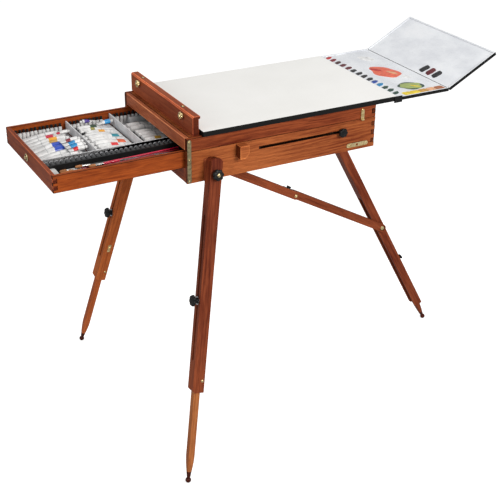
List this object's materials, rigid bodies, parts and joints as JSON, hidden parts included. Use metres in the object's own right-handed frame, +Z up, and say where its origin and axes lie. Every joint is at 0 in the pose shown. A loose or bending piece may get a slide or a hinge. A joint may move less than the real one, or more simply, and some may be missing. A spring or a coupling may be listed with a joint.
{
  "type": "french box easel",
  "caption": "Wooden sketch box on three folding legs with a pull-out drawer, tilting lid, drawing board, canvas ledge and folding palette.",
  "frame": {"origin": "on the floor, under the middle of the bounding box", "axes": "+Z up, the painter and the drawer are at -Y, the rear leg and the palette at +Y, +X is the painter's right"},
  "size_m": [0.8004, 1.3048, 0.9704],
  "materials": {
    "wood_side": "satin stained",
    "wood_front": "satin stained, dark",
    "wood_leg": "satin stained",
    "wood_pale": "satin",
    "brass": "polished, slightly aged",
    "black_plastic": "moulded",
    "board": "painted white, smooth, with black edges",
    "palette": "smooth white with dried paint",
    "divider": "smooth",
    "tubes": "white tubes with coloured bands",
    "brush": "lacquered"
  },
  "bodies": {
    "box": {"box_side_right": "wood_side", "box_side_left": "wood_side", "box_back": "wood_front", "box_front_rail": "wood_front", "box_bottom": "wood_pale", "leg_wedge_right": "wood_side", "leg_wedge_left": "wood_side", "leg_stop_right": "wood_side", "leg_stop_left": "wood_side", "hinge_strap_right": "brass", "hinge_strap_left": "brass", "catch_plate_right": "brass", "catch_plate_left": "brass", "rear_leg_bracket": "wood_leg", "stay_bracket": "wood_leg"},
    "lid": {"lid_side_right": "wood_side", "lid_side_left": "wood_side", "lid_front_rail": "wood_front", "lid_back_rail": "wood_front", "lid_panel": "wood_pale"},
    "mast": {"mast": "wood_pale"},
    "tray": {"tray_bar": "wood_leg"},
    "board": {"drawing_board": "board"},
    "palette": {"palette_pan": "palette", "palette_clip": "black_plastic"},
    "palette_lid": {"palette_lid": "palette"},
    "drawer": {"drawer_side_right": "wood_side", "drawer_side_left": "wood_side", "drawer_front": "wood_front", "drawer_back": "wood_front", "drawer_bottom": "wood_pale", "drawer_dividers": "divider", "drawer_knob": "brass", "paint_tubes": "tubes", "brushes": "brush"},
    "rear_leg": {"rear_leg_upper": "wood_leg"},
    "rear_lower_leg": {"rear_leg_lower": "wood_pale"},
    "rear_clamp_knob": {"rear_clamp_knob": "black_plastic"},
    "stay_upper": {"stay_upper": "wood_leg"},
    "stay_lower": {"stay_lower": "wood_leg", "stay_bolt": "brass"},
    "stay_button": {"stay_button": "black_plastic"},
    "tray_knob_right": {"tray_knob_right": "brass"},
    "tray_knob_left": {"tray_knob_left": "brass"},
    "latch_right": {"latch_right": "brass"},
    "stay_arm_right": {"stay_arm_right": "brass"},
    "slot_bolt_right": {"slot_bolt_right": "brass"},
    "slot_knob_right": {"slot_knob_right": "black_plastic"},
    "front_leg_right": {"front_leg_upper_right": "wood_leg"},
    "front_lower_leg_right": {"front_leg_lower_right": "wood_pale"},
    "front_clamp_knob_right": {"front_clamp_knob_right": "black_plastic"},
    "leg_pivot_knob_right": {"leg_pivot_knob_right": "black_plastic"},
    "latch_left": {"latch_left": "brass"},
    "stay_arm_left": {"stay_arm_left": "brass"},
    "slot_bolt_left": {"slot_bolt_left": "brass"},
    "slot_knob_left": {"slot_knob_left": "black_plastic"},
    "front_leg_left": {"front_leg_upper_left": "wood_leg"},
    "front_lower_leg_left": {"front_leg_lower_left": "wood_pale"},
    "front_clamp_knob_left": {"front_clamp_knob_left": "black_plastic"},
    "leg_pivot_knob_left": {"leg_pivot_knob_left": "black_plastic"}
  },
  "joints": [
    {"name": "lid_tilt", "type": "hinge", "parent": "box", "child": "lid", "pos_m": [0, -0.29845, 0.87299], "axis": [1, 0, 0], "range_deg": [0, 90]},
    {"name": "mast_slide", "type": "slide", "parent": "lid", "child": "mast", "axis": [0, 1, 0], "range_m": [-0.235, 0.06]},
    {"name": "tray_slide", "type": "slide", "parent": "lid", "child": "tray", "axis": [0, 1, 0], "range_m": [-0.02, 0]},
    {"name": "tray_knob_right_turn", "type": "hinge", "parent": "tray", "child": "tray_knob_right", "pos_m": [0.128, -0.28945, 0.91699], "axis": [0, -1, 0], "continuous": true},
    {"name": "tray_knob_left_turn", "type": "hinge", "parent": "tray", "child": "tray_knob_left", "pos_m": [-0.14, -0.28945, 0.91699], "axis": [0, -1, 0], "continuous": true},
    {"name": "board_lift", "type": "slide", "parent": "lid", "child": "board", "axis": [0, 0, 1], "range_m": [0, 0.15]},
    {"name": "palette_lift", "type": "slide", "parent": "board", "child": "palette", "axis": [0, 0, 1], "range_m": [0, 0.1]},
    {"name": "palette_fold", "type": "hinge", "parent": "palette", "child": "palette_lid", "pos_m": [0, 0.49355, 0.88999], "axis": [1, 0, 0], "range_deg": [-28, 151.5]},
    {"name": "drawer_slide", "type": "slide", "parent": "box", "child": "drawer", "axis": [0, -1, 0], "range_m": [-0.3407, 0.07]},
    {"name": "latch_right_swing", "type": "hinge", "parent": "lid", "child": "latch_right", "pos_m": [0.197, 0.21255, 0.86999], "axis": [1, 0, 0], "range_deg": [0, 100]},
    {"name": "stay_arm_right_turn", "type": "hinge", "parent": "lid", "child": "stay_arm_right", "pos_m": [0.1818, -0.13645, 0.85599], "axis": [-1, 0, 0], "range_deg": [0, 131.68]},
    {"name": "slot_bolt_right_slide", "type": "slide", "parent": "box", "child": "slot_bolt_right", "axis": [0, -1, 0], "range_m": [0, 0.23934]},
    {"name": "slot_knob_right_turn", "type": "hinge", "parent": "slot_bolt_right", "child": "slot_knob_right", "pos_m": [0.2, 0.14755, 0.82099], "axis": [1, 0, 0], "continuous": true},
    {"name": "front_leg_right_fold", "type": "hinge", "parent": "box", "child": "front_leg_right", "pos_m": [0.221, -0.24345, 0.78799], "axis": [0.9767, 0, 0.2144], "range_deg": [0, 101.67]},
    {"name": "front_leg_right_extend", "type": "slide", "parent": "front_leg_right", "child": "front_lower_leg_right", "axis": [-0.2099, 0.2023, 0.9565], "range_m": [-0.15, 0.215]},
    {"name": "front_clamp_right_turn", "type": "hinge", "parent": "front_lower_leg_right", "child": "front_clamp_knob_right", "pos_m": [0.28944, -0.30941, 0.47616], "axis": [-0.0434, -0.9793, 0.1976], "continuous": true},
    {"name": "leg_pivot_knob_right_turn", "type": "hinge", "parent": "front_leg_right", "child": "leg_pivot_knob_right", "pos_m": [0.221, -0.24345, 0.78799], "axis": [0.9767, 0, 0.2144], "continuous": true},
    {"name": "latch_left_swing", "type": "hinge", "parent": "lid", "child": "latch_left", "pos_m": [-0.197, 0.21255, 0.86999], "axis": [1, 0, 0], "range_deg": [0, 100]},
    {"name": "stay_arm_left_turn", "type": "hinge", "parent": "lid", "child": "stay_arm_left", "pos_m": [-0.1818, -0.13645, 0.85599], "axis": [-1, 0, 0], "range_deg": [0, 131.68]},
    {"name": "slot_bolt_left_slide", "type": "slide", "parent": "box", "child": "slot_bolt_left", "axis": [0, -1, 0], "range_m": [0, 0.23934]},
    {"name": "slot_knob_left_turn", "type": "hinge", "parent": "slot_bolt_left", "child": "slot_knob_left", "pos_m": [-0.2, 0.14755, 0.82099], "axis": [-1, 0, 0], "continuous": true},
    {"name": "front_leg_left_fold", "type": "hinge", "parent": "box", "child": "front_leg_left", "pos_m": [-0.221, -0.24345, 0.78799], "axis": [0.9767, 0, -0.2144], "range_deg": [0, 101.67]},
    {"name": "front_leg_left_extend", "type": "slide", "parent": "front_leg_left", "child": "front_lower_leg_left", "axis": [0.2099, 0.2023, 0.9565], "range_m": [-0.15, 0.215]},
    {"name": "front_clamp_left_turn", "type": "hinge", "parent": "front_lower_leg_left", "child": "front_clamp_knob_left", "pos_m": [-0.28944, -0.30941, 0.47616], "axis": [0.0434, -0.9793, 0.1976], "continuous": true},
    {"name": "leg_pivot_knob_left_turn", "type": "hinge", "parent": "front_leg_left", "child": "leg_pivot_knob_left", "pos_m": [-0.221, -0.24345, 0.78799], "axis": [-0.9767, 0, 0.2144], "continuous": true},
    {"name": "rear_leg_fold", "type": "hinge", "parent": "box", "child": "rear_leg", "pos_m": [0, 0.22295, 0.77499], "axis": [-1, 0, 0], "range_deg": [0, 118.8]},
    {"name": "rear_leg_extend", "type": "slide", "parent": "rear_leg", "child": "rear_lower_leg", "axis": [0, -0.4818, 0.8763], "range_m": [-0.13, 0.06]},
    {"name": "rear_clamp_turn", "type": "hinge", "parent": "rear_lower_leg", "child": "rear_clamp_knob", "pos_m": [0, 0.51202, 0.24922], "axis": [0, 0.8763, 0.4818], "continuous": true},
    {"name": "stay_upper_fold", "type": "hinge", "parent": "box", "child": "stay_upper", "pos_m": [0.036, -0.23145, 0.76999], "axis": [1, 0, 0], "range_deg": [0, 29.56]},
    {"name": "stay_lower_fold", "type": "hinge", "parent": "stay_upper", "child": "stay_lower", "pos_m": [0.024, 0.10959, 0.57733], "axis": [-1, 0, 0], "range_deg": [0, 181.07]},
    {"name": "stay_button_turn", "type": "hinge", "parent": "stay_upper", "child": "stay_button", "pos_m": [0.0359, 0.07999, 0.59405], "axis": [0, 0.4919, 0.8707], "continuous": true}
  ],
  "couplings": [
    {"joint": "stay_arm_right_turn", "follows": "lid_tilt", "ratio": 1.4598},
    {"joint": "slot_bolt_right_slide", "follows": "lid_tilt", "m_per_rad": 0.15218},
    {"joint": "stay_arm_left_turn", "follows": "lid_tilt", "ratio": 1.4598},
    {"joint": "slot_bolt_left_slide", "follows": "lid_tilt", "m_per_rad": 0.15218},
    {"joint": "stay_upper_fold", "follows": "rear_leg_fold", "ratio": 0.248},
    {"joint": "stay_lower_fold", "follows": "rear_leg_fold", "ratio": 1.5216}
  ]
}
